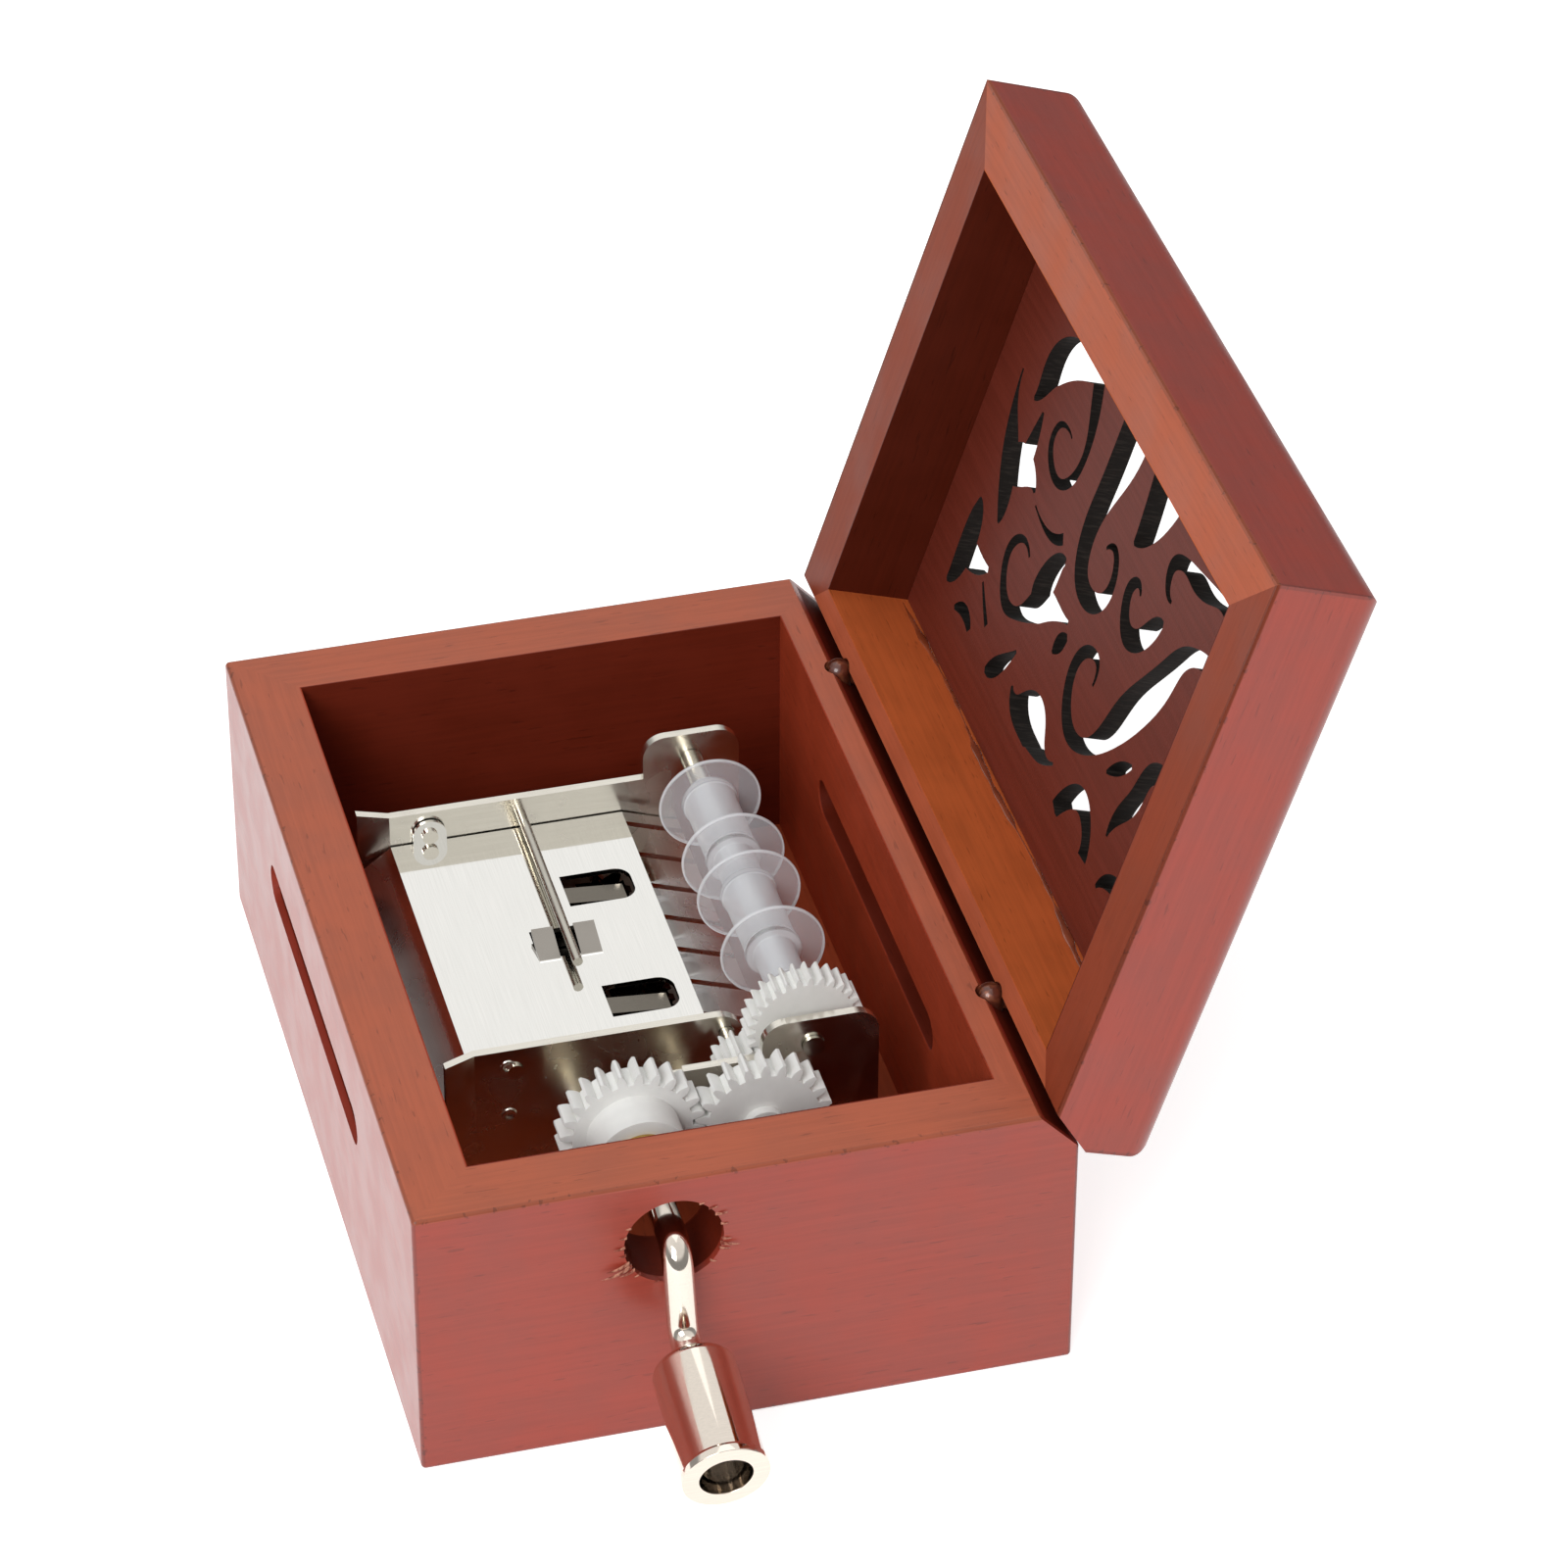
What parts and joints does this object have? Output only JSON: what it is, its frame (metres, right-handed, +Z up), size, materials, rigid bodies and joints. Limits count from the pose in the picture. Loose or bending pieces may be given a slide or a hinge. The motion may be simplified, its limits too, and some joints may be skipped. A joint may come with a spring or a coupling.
{
  "type": "hand-cranked strip music box",
  "caption": "Hinged wooden case with a pierced lid, holding a hand-cranked punched-strip musical movement with a feed roller and comb.",
  "frame": {"origin": "centre of the case's flat underside", "axes": "+Z up, -Y towards the crank, -X towards the strip's entry slot, lid hinged on +X"},
  "size_m": [0.0988, 0.1225, 0.0958],
  "materials": {
    "stained_wood": "satin lacquer over a red-brown stain",
    "fret_board": "stained board with dark sawn edges",
    "hinge_metal": "stained with the case",
    "white_nylon": "moulded",
    "clear_nylon": "moulded, translucent",
    "brass": "plain",
    "polished_cover": "mirror polished",
    "nickel_plate": "bright plated",
    "spring_steel": "ground",
    "cast_base": "plain",
    "bright_steel": "bright rolled"
  },
  "bodies": {
    "case": {"box_front_wall": "stained_wood", "box_back_wall": "stained_wood", "box_left_wall": "stained_wood", "box_right_wall": "stained_wood", "box_floor": "stained_wood", "hinge_box_barrels": "hinge_metal", "hinge_pins": "hinge_metal", "back_plate": "bright_steel", "front_plate": "bright_steel", "gear_bracket": "bright_steel", "bracket_posts": "bright_steel", "crank_stud": "bright_steel", "frame_base": "bright_steel", "frame_standoffs": "brass", "frame_screws": "bright_steel", "cover_plate": "polished_cover", "cover_rivets": "bright_steel", "cover_rod": "bright_steel", "leaf_springs": "spring_steel", "star_shaft": "bright_steel", "comb": "spring_steel", "comb_base": "cast_base", "comb_screws": "bright_steel"},
    "lid": {"lid_front_rail": "stained_wood", "lid_back_rail": "stained_wood", "lid_free_rail": "stained_wood", "lid_hinge_rail": "stained_wood", "hinge_lid_barrels": "hinge_metal", "lid_fret_panel": "fret_board"},
    "crank": {"crank_gear": "white_nylon", "crank_washer": "brass", "crank_wire": "nickel_plate", "crank_rivet": "nickel_plate"},
    "knob": {"crank_knob": "nickel_plate"},
    "idler": {"idler_gear": "white_nylon", "idler_shaft": "bright_steel", "idler_pinion": "white_nylon"},
    "roller": {"roller_shaft": "bright_steel", "roller_gear": "white_nylon", "roller_spool_back": "clear_nylon", "roller_spool_front": "clear_nylon"},
    "stars": {"star_wheels": "brass"}
  },
  "joints": [
    {"name": "lid_hinge", "type": "hinge", "parent": "case", "child": "lid", "pos_m": [0.0315, 0, 0.03287], "axis": [0, 1, 0], "range_deg": [-108.1, 0]},
    {"name": "crank_turn", "type": "hinge", "parent": "case", "child": "crank", "pos_m": [-0.008, -0.04, 0.0253], "axis": [0, 1, 0], "continuous": true},
    {"name": "knob_spin", "type": "hinge", "parent": "crank", "child": "knob", "pos_m": [-0.008, -0.0537, 0.0156], "axis": [0, -0.9781, -0.2079], "continuous": true},
    {"name": "idler_turn", "type": "hinge", "parent": "case", "child": "idler", "pos_m": [0.00602, -0.03, 0.02383], "axis": [0, 1, 0], "continuous": true},
    {"name": "roller_turn", "type": "hinge", "parent": "case", "child": "roller", "pos_m": [0.01305, 0, 0.02805], "axis": [0, 1, 0], "continuous": true},
    {"name": "star_turn", "type": "hinge", "parent": "case", "child": "stars", "pos_m": [0.001, 0.0052, 0.0166], "axis": [0, 1, 0], "continuous": true}
  ],
  "couplings": [
    {"joint": "idler_turn", "follows": "crank_turn", "ratio": -1.0435},
    {"joint": "roller_turn", "follows": "crank_turn", "ratio": 0.38261}
  ]
}
